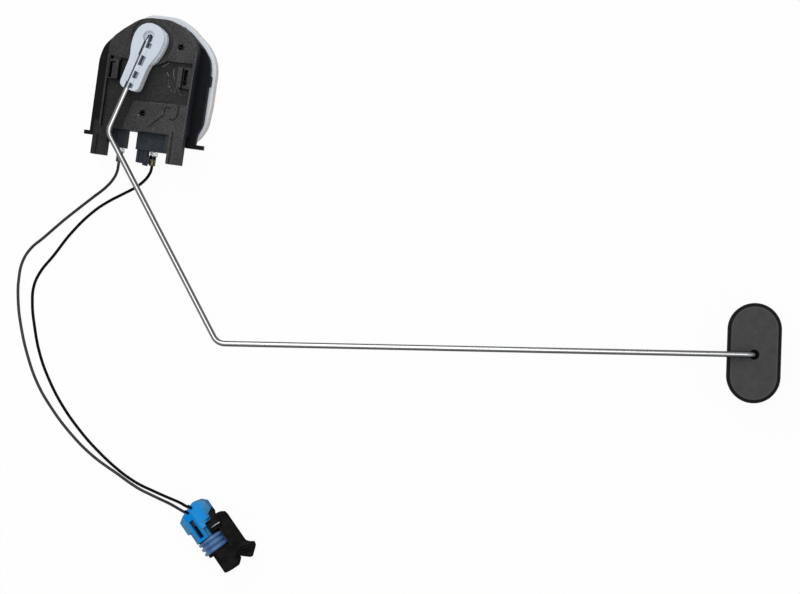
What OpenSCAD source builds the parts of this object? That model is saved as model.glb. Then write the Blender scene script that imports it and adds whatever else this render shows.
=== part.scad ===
// Fuel level sender: a swinging float arm on a moulded housing, with two leads to a sealed plug.
// All sizes are in millimetres. The sender lies on its back: z is the height above the table,
// x is the housing's width and y runs up the housing. The origin is on the back, under the pivot.

/* [Housing] */
// Width of the housing over its two side flanges
body_w = 53.2; // [48:0.2:60]
// Height of the housing above the pivot
body_top = 10.2; // [9:0.2:13]
// Length of the housing below the pivot, without the legs
body_drop = 44.4; // [43:0.2:50]
// Length of the two legs below the pivot
leg_drop = 55.8; // [52:0.2:62]
// Height of the front face above the table
face_z = 16.2; // [15:0.1:18]
// Depth of the recess in the middle of the front face
recess_depth = 2; // [1:0.1:2.4]
// Thickness of the side flange
flange_t = 2.6; // [1.5:0.1:3]
// Height of the two arm stops above the front face
stop_rise = 2.2; // [1:0.1:2.6]
// Radius of the shallow round recess about the pivot
boss_r = 10.2; // [9:0.1:12]

/* [Rear cover] */
// Height of the rear cover's rim
cover_h = 5; // [4.4:0.1:6]
// Width of the rim that stands out beyond the flange
cover_rim = 2; // [1:0.1:3]
// Thickness of the cover's floor
cover_t = 1.8; // [1.2:0.1:2.2]

/* [Resistor card] */
// Width of the ceramic card
card_w = 36; // [32:0.5:37]
// Length of the ceramic card
card_l = 32; // [28:0.5:33]
// Thickness of the ceramic card
card_t = 0.8; // [0.6:0.1:1]

/* [Arm holder] */
// Radius of the holder's head
head_r = 7; // [6:0.1:8]
// Length of the holder below the pivot
tail_l = 25.6; // [22:0.2:26]
// Width of the holder's tail
tail_w = 9.4; // [8:0.1:10]
// Thickness of the holder
holder_t = 5.7; // [5:0.1:7]
// Angle of the holder from straight down, in degrees
holder_turn = 15; // [15:0.5:20]
// Diameter of the pivot barrel
barrel_d = 9; // [8:0.1:10]

/* [Float arm] */
// Diameter of the steel rod
rod_d = 2.5; // [2:0.1:2.8]
// Bend radius of the two bends in the plane of the arm, at the rod's centre
rod_bend_r = 6; // [5:0.5:8]

// Length of the rod from the pivot to its first corner
reach_a = 47; // [44:0.1:60]
// Turn of the rod at its first corner, in degrees
bend_a = 52.6; // [40:0.1:60]
// Length of the rod between its two corners
reach_b = 109.2; // [100:0.2:130]
// Turn of the rod at its second corner, in degrees
bend_b = 60.9; // [50:0.1:70]
// Length of the rod from its second corner to the float's pivot
reach_c = 238.3; // [200:0.1:260]

/* [Float] */
// Length of the float
float_l = 43.6; // [38:0.2:56]
// Width of the float
float_w = 23.2; // [18:0.2:30]
// Thickness of the float
float_t = 19; // [14:0.1:19]
// Radius on the float's edges
float_edge_r = 2.4; // [1.5:0.1:3]

/* [Leads] */
// Diameter of each lead
wire_d = 1.4; // [1.2:0.1:1.4]

/* [Plug] */
// Width of the blue lock cap, with the wing beside the latch
cap_w = 15.4; // [15:0.2:17]
// Height of the blue lock cap
cap_tall = 14.2; // [14:0.2:16]
// Length of the blue lock cap
cap_l = 17; // [16.4:0.2:18.4]
// Width of the plug's core
core_w = 8.4; // [8.2:0.1:9]
// Length of the plug in front of the cap
plug_l = 18; // [17.2:0.2:22]
// Outer diameter of the ring seal
seal_d = 13.4; // [13:0.1:14]

/* [Hidden] */

// extra length of a cutting tool past the face it opens
open = 1;
// play between pieces that don't move on each other
fit = 0.05;
// play of the pivot barrel and the float on the rod
run_fit = 0.08;

// housing
half_w = body_w / 2;
flange_z = cover_h;
flange_top = flange_z + flange_t;
core_left = half_w - 6.7;
core_right = half_w - 5.6;
recess_z = face_z - recess_depth;
roof_z = recess_z - 1.8;
cavity_half = core_left - 1.8;
room_half = card_w / 2 + 1;
cavity_top = body_top - 3.8;
cavity_low = -body_drop + 3.6;
flange_low = -body_drop - 2;
cover_low = -body_drop - 0.6;
collar_r = barrel_d / 2 + 2.4;
collar_z = 9.7;
boss_z = face_z - 0.5;
leg_left = half_w - 3.9;
leg_w = 7;
leg_t = 4.4;
rail_w = 0.9;
bead_w = 0.9;
tab_out = 0.6;
tab_low = -17.5;
tab_l = 4.3;
groove_w = 0.6;
groove_d = 0.7;
stop_z = face_z + stop_rise;
stop_low = -20.8;
left_stop_x = -13.6;
right_stop_x = 14.6;
plate_top = -29;
plate_low = -42.7;
label_z = 12.2;
left_lead_x = -10.2;
right_lead_x = 5.7;
strip_w = 2.4;
strip_t = 0.5;
crimp_z = 9;
strip_z = crimp_z - 1.5;
block_low = -50.8;
crimp_low = -57.4;

// card and wiper
card_z = cover_t + 0.8;
card_y = -5.4;
card_top = card_z + card_t;
carrier_z = 6;
carrier_t = 3.4;
neck_d = 6.8;
leaf_t = 0.3;
tip_z = card_top + fit;

// arm
holder_z = face_z + 0.5;
holder_top = holder_z + holder_t;
foot_w = 0.8;
rod_r = rod_d / 2;
rod_z = holder_top - 1.3;
rod_end_z = 8.4;
end_bend_r = 3;
bend_z = rod_z - end_bend_r;
bend_steps = 6;
rod_sides = 24;
rod_heading = -106.6;
arm_a = reach_a * toward(rod_heading);
arm_b = arm_a + reach_b * toward(rod_heading + bend_a);
arm_c = arm_b + reach_c * toward(rod_heading + bend_a + bend_b);
float_turn = 6;
float_off = 0.6;
clip_z = 2;
clip_t = 0.6;
clip_r = 3.4;

// plug: its own x axis runs from the leads to the mating end
plug_at = [46, -211];
plug_turn = -46.4;
plug_z = cap_tall / 2;
lead_z = 8.4;
left_lead_y = -1.6;
right_lead_y = 1.4;
cap_rear = -1.9;
cap_front = cap_rear + cap_l;
cap_wall = 2.4;
wing_y = cap_w - 7.3;
core_x = 7.6;
socket_x = core_x + 1.6;
mat_x = 4.2;
shoulder_x = cap_front + 6.9;
nose_x = cap_front + plug_l;
nose_y = 1.4;
nose_r = 5.1;
bar_y = 6.9;
bar_w = 5.8;

function unit(v) = v / norm(v);
function toward(a) = [cos(a), sin(a)];
function heading(v) = atan2(v[1], v[0]);
function swing(a, b) = (b - a) - 360 * round((b - a) / 360);
function middle_of(p, q, s, r) = let (u = unit(p - q), v = unit(s - q), h = acos(u * v) / 2)
    q + unit(u + v) * r / sin(h);
function corner(p, q, s, r) = let (
    u = unit(p - q),
    v = unit(s - q),
    h = acos(u * v) / 2,
    c = middle_of(p, q, s, r),
    a = heading(q + u * r / tan(h) - c),
    b = heading(q + v * r / tan(h) - c),
    steps = 5
) [for (i = [0:steps]) c + r * [cos(a + swing(a, b) * i / steps), sin(a + swing(a, b) * i / steps)]];
function rounded(pts, r) = let (n = len(pts))
    [for (i = [0:n - 1]) each corner(pts[(i + n - 1) % n], pts[i], pts[(i + 1) % n], r)];
// wide radius where the outline turns gently, small radius at its sharp corners
function soft_r(p, q, s) = let (turn = acos(unit(q - p) * unit(s - q)))
    turn > 60 ? 2 : min(16, 0.45 * min(norm(q - p), norm(s - q)) / tan(turn / 2));
function softened(pts) = let (n = len(pts)) [for (i = [0:n - 1]) let (
    p = pts[(i + n - 1) % n],
    q = pts[i],
    s = pts[(i + 1) % n]
) each corner(p, q, s, soft_r(p, q, s))];

// outline of the side flange: straight sides, sloping shoulders, narrower at the lower right
function flange_outline() = [
    [-6, body_top - 0.7],
    [7.6, body_top - 0.5],
    [14.6, body_top - 3.8],
    [half_w - 4.4, -0.6],
    [half_w - 0.9, -5.4],
    [half_w + 0.1, -10],
    [half_w - 0.1, -36],
    [half_w - 2.2, -40.4],
    [half_w - 2.3, flange_low],
    [-half_w, flange_low],
    [-half_w, -11],
    [-half_w + 1.4, -5],
    [-half_w + 4.6, -0.9],
    [-14, body_top - 5.4]
];

// outline of the rear cover: flush on the left, standing out at the top and on the right
function cover_outline() = [
    [-9.4, body_top - 0.2],
    [-5, body_top + cover_rim],
    [8.4, body_top + cover_rim],
    [15, body_top - 1.8],
    [half_w - 3.6, 1.6],
    [half_w + cover_rim - 1.5, -4],
    [half_w + cover_rim + 0.1, -10],
    [half_w + cover_rim, -26],
    [half_w + cover_rim - 0.8, -36],
    [half_w + cover_rim - 3.2, -41],
    [half_w - 5, cover_low],
    [-half_w, cover_low],
    [-half_w, -11],
    [-half_w + 1.8, -5],
    [-half_w + 4.4, -1.4]
];

module slab(pts, z0, z1) {
    translate([0, 0, z0])
        linear_extrude(z1 - z0)
            polygon(pts);
}

module block(x0, x1, y0, y1, z0, z1) {
    translate([x0, y0, z0])
        cube([x1 - x0, y1 - y0, z1 - z0]);
}

module post(x, y, z0, z1, r, n = 32) {
    translate([x, y, z0])
        cylinder(h = z1 - z0, r = r, $fn = n);
}

// a thin groove along a line of points in the front face
module engraved(pts, z0, w) {
    for (i = [0:len(pts) - 2]) {
        d = pts[i + 1] - pts[i];
        translate([pts[i][0], pts[i][1], z0])
            rotate([0, 0, heading(d)])
                translate([-w / 2, -w / 2, 0])
                    cube([norm(d) + w, w, open * 4]);
    }
}

module star_hole(x, y, z0, z1) {
    post(x, y, z0, z1, 1.25);
    for (a = [10, 70, 130]) {
        translate([x, y, (face_z + z1) / 2 - 0.4])
            rotate([0, 0, a])
                cube([3.5, 0.9, z1 - face_z + 0.8], center = true);
    }
}

module housing() {
    color([0.18, 0.18, 0.19])
        difference() {
            union() {
                difference() {
                    slab(softened(flange_outline()), flange_z, flange_top);
                    block(-leg_left + leg_w, core_right - leg_w, flange_low - open, plate_low, 0, face_z);
                }
                flange_bead();
                slab(softened(core_outline()), flange_z, recess_z);
                raised_faces();
                legs();
                fins();
                stops();
                terminal_blocks();
                snap_tab();
            }
            slab(rounded(cavity_outline(), 2), flange_z - open, roof_z);
            pivot_bore();
            star_hole(13.8, -2.4, roof_z - open, face_z + open);
            star_hole(0, -34.3, roof_z - open, face_z + open);
            face_grooves();
            terminal_ways();
        }
    color([0.18, 0.18, 0.19])
        difference() {
            post(0, 0, collar_z, roof_z + fit, collar_r, 48);
            post(0, 0, collar_z - open, roof_z + open, barrel_d / 2 + run_fit, 48);
        }
}

// low bead along the right edge of the flange
module flange_bead() {
    difference() {
        slab(softened(flange_outline()), flange_z, flange_top + 0.5);
        translate([-bead_w, 0, 0])
            slab(softened(flange_outline()), 0, face_z);
        block(-half_w - 1, 12, -leg_drop, body_top + 1, 0, face_z);
        block(0, half_w + 4, -leg_drop, -36, 0, face_z);
    }
}

function core_outline() = [
    [-5.6, body_top - 0.8],
    [8, body_top - 0.8],
    [14.4, body_top - 3.9],
    [core_right + 1, -1],
    [core_right + 0.2, -14],
    [core_right, plate_low],
    [-core_left, plate_low],
    [-core_left, -2.2],
    [-14, body_top - 7.1]
];

function cavity_outline() = [
    [-7, cavity_top],
    [7, cavity_top],
    [cavity_half, -5],
    [cavity_half, cavity_low],
    [-cavity_half, cavity_low],
    [-cavity_half, -5]
];

// the raised zones of the front face: top field, lower plate, right rail and left rail
module raised_faces() {
    difference() {
        slab(softened(core_outline()), roof_z, face_z);
        slab(rounded(mid_recess(), 0.7), recess_z, face_z + open);
        post(0, 0, boss_z, face_z + open, boss_r, 64);
    }
}

function mid_recess() = [
    [-core_left + rail_w, -9.7],
    [3.7, -12],
    [8, -9.4],
    [core_right - 0.6, -9.2],
    [core_right - 0.8, plate_top + 0.5],
    [-5, plate_top],
    [-9.6, plate_low - 2],
    [-core_left + rail_w, plate_low - 2]
];

module legs() {
    block(-leg_left, -leg_left + leg_w, -leg_drop + 0.4, plate_low + 3, recess_z - leg_t, recess_z);
    block(core_right - leg_w - 0.2, core_right - 0.2, -leg_drop, plate_low + 3, face_z - leg_t, face_z);
}

module fins() {
    block(-half_w - 2.6, -half_w + 6, flange_low, flange_low + 1.8, flange_z, flange_top);
    block(half_w - 7, half_w + 1.5, flange_low - 0.7, flange_low + 1.2, flange_z, flange_top);
}

// the two arm stops, each a ridge beside a slot
module stops() {
    block(-core_left + rail_w, left_stop_x, stop_low + 0.5, stop_low + 10.8, roof_z, face_z - 0.4);
    block(left_stop_x - 2.8, left_stop_x, stop_low + 0.5, stop_low + 9.4, face_z - open, stop_z);
    block(right_stop_x, core_right - 0.6, stop_low, stop_low + 9.6, roof_z, face_z - 0.4);
    block(right_stop_x, right_stop_x + 2, stop_low, stop_low + 9.2, face_z - open, stop_z);
}

// label block, ridged guide beside the right terminal, and the left terminal's block
module terminal_blocks() {
    block(-2.2, 12.4, block_low, plate_low + 2, flange_z, label_z);
    block(-11.8, -8.1, block_low, plate_low + 2, flange_z, label_z - 1);
    block(-leg_left + leg_w - 1, -10.6, block_low + 2, plate_low + 2, flange_z, label_z - 2);
    block(12, core_right - leg_w + 2, block_low - 0.2, plate_low + 2, face_z - leg_t - 1, face_z - 1.2);
    block(-1.7, right_lead_x - 2.4, crimp_low + 0.8, block_low + 1, flange_z + 1, label_z - 1);
    block(1.6, 2.8, crimp_low - 0.2, block_low + 1, flange_z + 1, label_z - 1);
    block(-1.3, -0.4, crimp_low + 0.8, block_low + 1, label_z - 2, label_z - 0.4);
    block(0.6, 1.4, crimp_low + 0.8, block_low + 1, label_z - 2, label_z - 0.4);
}

// the tab that snaps into the notch in the rear cover's rim
module snap_tab() {
    block(half_w - 2, half_w + tab_out, tab_low, tab_low + tab_l, cover_t + 1.2, flange_top);
}

module pivot_bore() {
    post(0, 0, collar_z - open, boss_z + open, barrel_d / 2 + run_fit, 48);
}

module face_grooves() {
    hook_a = [[3.9, -40], [10.2, -33.9], [10.3, -31.4], [10.8, -30.5], [12.8, -30.6]];
    hook_b = [[13.3, -35.5], [14.7, -35.9], [16, -34.6], [16.7, -32.7], [16.6, -29.2]];
    slot_low = stop_low + 1;
    leg_groove = core_right - leg_w + 1.4;
    engraved(hook_a, face_z - groove_d, groove_w);
    engraved(hook_b, face_z - groove_d, groove_w);
    engraved([[leg_groove + 0.1, -41.6], [leg_groove, -leg_drop - open]], face_z - groove_d, groove_w + 0.2);
    left_groove = -leg_left + 2.5;
    engraved([[left_groove, flange_low], [left_groove, -leg_drop - open]], recess_z - groove_d, groove_w + 0.2);
    block(-core_left + rail_w + 0.5, left_stop_x - 2.8, slot_low, slot_low + 7.4, roof_z - open, stop_z + open);
    block(-core_left + rail_w + 0.5, left_stop_x - 1.6, slot_low + 6.6, slot_low + 7.4, face_z - 1.4, stop_z + open);
    block(-core_left + rail_w + 0.4, -core_left + rail_w + 1.8, -11.2, -9.9, roof_z - open, face_z);
    block(right_stop_x + 2.3, right_stop_x + 4, slot_low + 0.4, slot_low + 7.6, roof_z - open, face_z + open);
    block(right_stop_x + 1, right_stop_x + 5.6, stop_low - 0.9, stop_low - 0.1, recess_z - 1, face_z + open);
}

module terminal_ways() {
    for (x = [left_lead_x, right_lead_x]) {
        block(x - strip_w / 2 - fit, x + strip_w / 2 + fit, block_low - open, cavity_low + open,
            strip_z - fit, strip_z + strip_t + fit);
    }
}

module rear_cover() {
    color([0.86, 0.89, 0.93])
        difference() {
            slab(softened(cover_outline()), 0, cover_h);
            difference() {
                slab(rounded(cover_room(), 2), cover_t, cover_h + open);
                card_ledges();
            }
            block(half_w - 2 - fit, half_w + tab_out + 0.2, tab_low - 0.4, tab_low + tab_l + 0.3,
                cover_t + 1, cover_h + open);
            block(-12, 1, cover_low - open, plate_low + 0.8, -open, cover_h + open);
            for (x = [-9, 9]) {
                block(x - 0.6, x + 0.6, -40, -2, -open, 0.5);
            }
        }
}

function cover_room() = [
    [-7, cavity_top],
    [7, cavity_top],
    [room_half, -5],
    [room_half, cavity_low],
    [-room_half, cavity_low],
    [-room_half, -5]
];

module card_ledges() {
    for (s = [-1, 1]) {
        translate([s * (card_w / 2 - 1), card_y - card_l / 2, cover_t - open])
            translate([-1.6, -card_l / 2, 0])
                cube([3.2, card_l, card_z - cover_t + open]);
    }
    block(-card_w / 2, card_w / 2, card_y - card_l, card_y - card_l + 2, cover_t - open, card_z);
}

module resistor_card() {
    color([0.92, 0.92, 0.88])
        difference() {
            block(-card_w / 2, card_w / 2, card_y - card_l, card_y, card_z, card_top);
            for (s = [-1, 1]) {
                post(s * (card_w / 2 - 3), card_y - 3, card_z - open, card_top + open, 0.8, 24);
            }
        }
}

// crimp terminal: spring end on the card, strip through the block, plate and crimp barrel
module terminal(x) {
    pad_y = card_y - card_l + 1.6;
    foot = card_top;
    color([0.78, 0.78, 0.76]) {
        translate([x - strip_w / 2, 0, 0])
            rotate([90, 0, 90])
                linear_extrude(strip_w)
                    polygon([
                        [block_low - 1.6, strip_z], [cavity_low + 1.2, strip_z],
                        [pad_y - 1.8, foot], [pad_y + 1.2, foot],
                        [pad_y + 1.2, foot + strip_t], [pad_y - 1.5, foot + strip_t],
                        [cavity_low + 1.5, strip_z + strip_t], [block_low - 1.6, strip_z + strip_t]
                    ]);
        difference() {
            union() {
                block(x - 1.7, x + 1.7, block_low - 2.2, block_low - fit, strip_z, strip_z + strip_t);
                block(x - 1.7, x - 1.2, block_low - 2.2, block_low - fit, strip_z, crimp_z + 0.9);
                block(x + 1.2, x + 1.7, block_low - 2.2, block_low - fit, strip_z, crimp_z + 0.9);
                translate([x, crimp_low, crimp_z])
                    rotate([-90, 0, 0])
                        cylinder(h = block_low - 1.8 - crimp_low, r = 1.5, $fn = 32);
            }
            translate([x, crimp_low - open, crimp_z])
                rotate([-90, 0, 0])
                    cylinder(h = block_low - crimp_low, r = wire_d / 2 + fit, $fn = 32);
            block(x - 0.15, x + 0.15, crimp_low - open, block_low - 2.6, crimp_z + 1.1, crimp_z + 2);
            block(x - 1.6, x + 1.6, -54.9, -54.5, crimp_z + 1.2, crimp_z + 2);
        }
    }
}

module left_terminal() {
    terminal(left_lead_x);
}

module right_terminal() {
    terminal(right_lead_x);
}

module on_arm() {
    rotate([0, 0, -holder_turn])
        children();
}

// inner rotor on the barrel's neck, with a paddle for the spring leaf and its two stakes
module wiper_carrier() {
    color([0.86, 0.87, 0.88])
        on_arm()
            difference() {
                union() {
                    post(0, 0, carrier_z, carrier_z + carrier_t, 6.4, 48);
                    block(-3.4, 3.4, -13.4, 0, carrier_z, carrier_z + 2);
                    post(-1.8, -10.6, carrier_z - 0.9, carrier_z + 1, 0.55, 24);
                    post(1.8, -10.6, carrier_z - 0.9, carrier_z + 1, 0.55, 24);
                }
                post(0, 0, carrier_z - open, carrier_z + carrier_t + open, neck_d / 2 + fit, 48);
                block(-7, 7, -8.6, -7.6, carrier_z + 1.4, carrier_z + 3);
            }
}

module wiper_spring() {
    color([0.82, 0.76, 0.6])
        on_arm()
            difference() {
                union() {
                    block(-3, 3, -12.6, -8.4, carrier_z - leaf_t, carrier_z);
                    finger(-2.4, -15.6);
                    finger(0.8, -18.6);
                }
                post(-1.8, -10.6, carrier_z - open, carrier_z + open, 0.55 + fit, 24);
                post(1.8, -10.6, carrier_z - open, carrier_z + open, 0.55 + fit, 24);
            }
}

module finger(x, y) {
    low = tip_z + 0.45;
    top = carrier_z - leaf_t;
    translate([x, 0, 0])
        rotate([90, 0, 90])
            linear_extrude(1.6)
                polygon([
                    [-12, top], [-12.6, top], [y + 0.6, low], [y - 1, low],
                    [y - 1, low + leaf_t], [y + 0.8, low + leaf_t], [-12.4, top + leaf_t], [-12, top + leaf_t]
                ]);
}

module contact_at(x, y) {
    on_arm()
        translate([x, y, tip_z]) {
            cylinder(h = 0.45, r1 = 0.4, r2 = 0.7, $fn = 24);
        }
}

module inner_contact() {
    color([0.85, 0.85, 0.8])
        contact_at(-1.6, -15.8);
}

module outer_contact() {
    color([0.85, 0.85, 0.8])
        contact_at(1.6, -18.8);
}

// arm holder: head, tail with the rod's groove and windows, wider foot, barrel and neck
module arm_holder() {
    rod_line = rod_heading + 90 + holder_turn;
    slot = rod_r + fit;
    color([0.84, 0.87, 0.92])
        on_arm()
            difference() {
                union() {
                    slab(holder_curve(0), holder_z, holder_top);
                    slab(holder_curve(1), holder_z, holder_z + 3.4);
                    post(0, 0, carrier_z + carrier_t + 0.1, holder_z + 0.1, barrel_d / 2, 48);
                    post(0, 0, carrier_z - 0.3, holder_z, neck_d / 2, 48);
                }
                post(0, 0, rod_z - 0.6, holder_top + open, 2.8, 32);
                post(0, 0, rod_end_z - 0.4, holder_top, slot, 32);
                rotate([0, 0, rod_line]) {
                    block(-slot, slot, -tail_l - 2, 0, rod_z, holder_top + open);
                    block(-slot, slot, -end_bend_r - 0.1, 0, bend_z - 0.1, rod_z + 0.1);
                    translate([0, 0, rod_z])
                        rotate([90, 0, 0])
                            cylinder(h = tail_l + 2, r = slot, $fn = 32);
                    block(slot - 0.2, slot + 1.7, -5, -2.5, rod_z - 1.6, holder_top + open);
                    block(slot - 0.2, slot + 1.4, -13.5, -9, rod_z - 1.6, holder_top + open);
                    block(slot - 0.2, slot + 1.5, -19.9, -16.8, rod_z - 1.6, holder_top + open);
                    block(slot - 0.2, slot + 1.3, -24.7, -22.7, rod_z - 1.6, holder_top + open);
                }
            }
}

// outline of the holder in its own axes; foot = 1 gives the wider foot of the head's right side
function holder_curve(foot) = [
    for (p = [
        [-6.8, -0.7], [-6.75, -3.4], [-6.35, -6.1], [-5.7, -8.5], [-5, -10.6], [-4.7, -13], [-4.7, -22.8],
        [-4.4, -24.2], [-3.6, -25.1], [-2.3, -25.6], [2.3, -25.6], [3.6, -25.1], [4.4, -24.2],
        [4.7, -22.8], [4.7, -14.4], [5.1, -11.8], [5.9, -9.2], [6.7, -6.6], [7.2, -4], [7.35, -1.6],
        [7.25, 0.6], [6.6, 2.7], [5.4, 4.4], [3.6, 5.6], [1.4, 6.2], [-1, 6.2], [-3.2, 5.4],
        [-5, 3.9], [-6.2, 1.9]
    ]) [
        p[0] * (abs(p[1]) > 12 ? tail_w / 9.4 : head_r / 7) + (p[0] > 4 && p[1] > -10 ? foot * foot_w : 0),
        p[1] * tail_l / 25.6
    ]
];

// bent rod: leg in the barrel, three runs with two bends in one plane, leg in the float
function left_of(a) = [-sin(a), cos(a)];
function leg_stop(at, z, h, p) = [[at[0], at[1], z, h, p]];
function leg_bend(at, h, s) = [for (i = [0:bend_steps]) let (
    p = 90 * (s > 0 ? 1 - i / bend_steps : -i / bend_steps),
    d = s * end_bend_r * (1 - abs(sin(p)))
) [each (at + d * toward(h)), bend_z + end_bend_r * cos(p), h, p]];
function flat_bend(at, h, w) = let (
    c = at - rod_bend_r * tan(w / 2) * toward(h) + rod_bend_r * left_of(h)
) [for (i = [0:bend_steps]) let (a = h + w * i / bend_steps)
    [each (c - rod_bend_r * left_of(a)), rod_z, a, 0]];
function rod_ring(s) = let (
    t = [cos(s[3]) * cos(s[4]), sin(s[3]) * cos(s[4]), sin(s[4])],
    side = [-sin(s[3]), cos(s[3]), 0],
    lift = cross(t, side)
) [for (k = [0:rod_sides - 1]) let (a = 360 * k / rod_sides)
    [s[0], s[1], s[2]] + rod_r * (cos(a) * side + sin(a) * lift)];

rod_stations = concat(
    leg_stop([0, 0], rod_end_z, rod_heading, 90),
    leg_bend([0, 0], rod_heading, 1),
    flat_bend(arm_a, rod_heading, bend_a),
    flat_bend(arm_b, rod_heading + bend_a, bend_b),
    leg_bend(arm_c, rod_heading + bend_a + bend_b, -1),
    leg_stop(arm_c, clip_z - 1, rod_heading + bend_a + bend_b, -90)
);

module float_arm() {
    color([0.62, 0.64, 0.66])
        polyhedron(
            points = [for (s = rod_stations) each rod_ring(s)],
            faces = tube_faces(len(rod_stations), rod_sides),
            convexity = 8
        );
}

module float_clip() {
    color([0.6, 0.62, 0.64])
        translate([arm_c[0], arm_c[1], clip_z])
            difference() {
                cylinder(h = clip_t, r = clip_r, $fn = 48);
                translate([0, 0, -open])
                    cylinder(h = clip_t + 2 * open, r = rod_r + 0.02, $fn = 24);
                for (a = [0, 120, 240]) {
                    rotate([0, 0, a])
                        translate([rod_r + 0.4, -0.25, -open])
                            cube([1.2, 0.5, clip_t + 2 * open]);
                }
            }
}

// section of the float's edge: a rounded rectangle from the middle out to the side
module float_section(w) {
    square_t = float_t - 2 * float_edge_r;
    translate([0, float_edge_r])
        square([w, square_t]);
    square([w - float_edge_r, float_t]);
    translate([w - float_edge_r, float_edge_r])
        circle(r = float_edge_r, $fn = 32);
    translate([w - float_edge_r, float_t - float_edge_r])
        circle(r = float_edge_r, $fn = 32);
}

module float() {
    side = float_w / 2;
    reach = float_l / 2 - side;
    recess_top = clip_z + clip_t + 0.2;
    color([0.2, 0.2, 0.21])
        translate([arm_c[0], arm_c[1], 0])
            rotate([0, 0, float_turn])
                difference() {
                    union() {
                        translate([0, float_off + reach, 0])
                            rotate_extrude($fn = 96)
                                float_section(side);
                        translate([0, float_off - reach, 0])
                            rotate_extrude($fn = 96)
                                float_section(side);
                        for (s = [0, 1]) {
                            mirror([s, 0, 0])
                                translate([0, float_off + reach, 0])
                                    rotate([90, 0, 0])
                                        linear_extrude(2 * reach)
                                            float_section(side);
                        }
                    }
                    post(0, 0, -open, float_t + open, rod_r + run_fit, 32);
                    post(0, 0, -open, recess_top, clip_r + 0.4, 48);
                    translate([0, 0, float_t - 1])
                        cylinder(h = 1 + fit, r1 = rod_r + run_fit, r2 = rod_r + 1, $fn = 32);
                }
}

// routes of the two leads; the last points lie on the plug's own axis lines
function plug_point(x, y, z) = [
    plug_at[0] + x * cos(plug_turn) - y * sin(plug_turn),
    plug_at[1] + x * sin(plug_turn) + y * cos(plug_turn),
    z
];

left_route = [
    [left_lead_x, crimp_low + 2.4, crimp_z],
    [left_lead_x, -58.6, 8.9],
    [-10.8, -61.6, 7.4],
    [-13, -65.4, 4.6],
    [-17, -69.9, 2.2],
    [-22.6, -75, 1],
    [-28.6, -80.8, 0.7],
    [-34.8, -87, 0.7],
    [-44, -97, 0.7],
    [-49.4, -102.8, 0.7],
    [-52.4, -109, 0.7],
    [-53.2, -117, 0.7],
    [-52, -128, 0.7],
    [-48.9, -139.6, 0.7],
    [-43.9, -152.4, 0.7],
    [-37.2, -164.8, 0.7],
    [-29, -175, 0.7],
    [-18.4, -185.2, 0.7],
    [-6.6, -193.9, 0.7],
    [8.4, -201.5, 0.7],
    [13.6, -204.1, 0.7],
    [18.8, -206.3, 0.75],
    [24, -207.8, 1.2],
    [29.3, -209.1, 2.4],
    [34.9, -210.3, 4.4],
    [39.4, -211.5, 6.4],
    [42.9, -212.5, 7.9],
    plug_point(1, -2.1, lead_z),
    plug_point(mat_x, left_lead_y, lead_z),
    plug_point(socket_x + 1.6, left_lead_y, lead_z)
];

right_route = [
    [right_lead_x, crimp_low + 2.4, crimp_z],
    [right_lead_x, -58.6, 8.9],
    [4.6, -61.2, 7.4],
    [1.6, -64.6, 4.6],
    [-3, -68.2, 2.2],
    [-9, -72, 1],
    [-15, -76, 0.7],
    [-21, -81, 0.7],
    [-30.6, -92.6, 0.7],
    [-37.8, -104.4, 0.7],
    [-43.4, -113.4, 0.7],
    [-45.4, -120, 0.7],
    [-45, -128, 0.7],
    [-42.4, -138.6, 0.7],
    [-38, -151, 0.7],
    [-32, -162, 0.7],
    [-23.6, -173.4, 0.7],
    [-13.4, -183.8, 0.7],
    [-4.4, -191.2, 0.7],
    [8, -199.4, 0.7],
    [13.3, -202.1, 0.7],
    [18.5, -204.2, 0.75],
    [23.7, -205.6, 1.2],
    [29, -206.8, 2.4],
    [34.5, -207.8, 4.4],
    [40.1, -208.8, 6.6],
    [43.7, -209.8, 8],
    plug_point(1, 1.2, lead_z),
    plug_point(mat_x, right_lead_y, lead_z),
    plug_point(socket_x + 1.6, right_lead_y, lead_z)
];

ring_sides = 8;

function tangent(pts, i) = let (n = len(pts))
    i == 0 ? unit(pts[1] - pts[0])
    : i == n - 1 ? unit(pts[n - 1] - pts[n - 2])
    : unit(unit(pts[i + 1] - pts[i]) + unit(pts[i] - pts[i - 1]));
function ring(p, t, r) = let (side = unit(cross([0, 0, 1], t)), lift = cross(t, side))
    [for (k = [0:ring_sides - 1]) let (a = 360 * (k + 0.5) / ring_sides)
        p + r * (cos(a) * side + sin(a) * lift)];
function tube_points(pts, r) = [for (i = [0:len(pts) - 1]) each ring(pts[i], tangent(pts, i), r)];
function tube_faces(n, sides) = concat(
    [[for (k = [0:sides - 1]) k]],
    [for (i = [0:n - 2]) for (k = [0:sides - 1]) let (
        a = i * sides + k,
        b = i * sides + (k + 1) % sides
    ) [b, a, a + sides, b + sides]],
    [[for (k = [sides - 1:-1:0]) (n - 1) * sides + k]]
);

module lead(pts) {
    polyhedron(points = tube_points(pts, wire_d / 2), faces = tube_faces(len(pts), ring_sides), convexity = 8);
}

module left_wire() {
    color([0.06, 0.06, 0.06])
        lead(left_route);
}

module right_wire() {
    color([0.06, 0.06, 0.06])
        lead(right_route);
}

module on_plug() {
    translate([plug_at[0], plug_at[1], 0])
        rotate([0, 0, plug_turn])
            children();
}

// square tube section with cut corners about the plug's axis
module cut_box(x0, x1, w, c) {
    h = w / 2;
    translate([x0, 0, plug_z])
        rotate([90, 0, 90])
            linear_extrude(x1 - x0)
                polygon([
                    [-h + c, -h], [h - c, -h], [h, -h + c], [h, h - c],
                    [h - c, h], [-h + c, h], [-h, h - c], [-h, -h + c]
                ]);
}

module lead_holes(x0, x1, r) {
    for (y = [left_lead_y, right_lead_y]) {
        translate([x0, y, lead_z])
            rotate([0, 90, 0])
                cylinder(h = x1 - x0, r = r, $fn = 24);
    }
}

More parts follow.
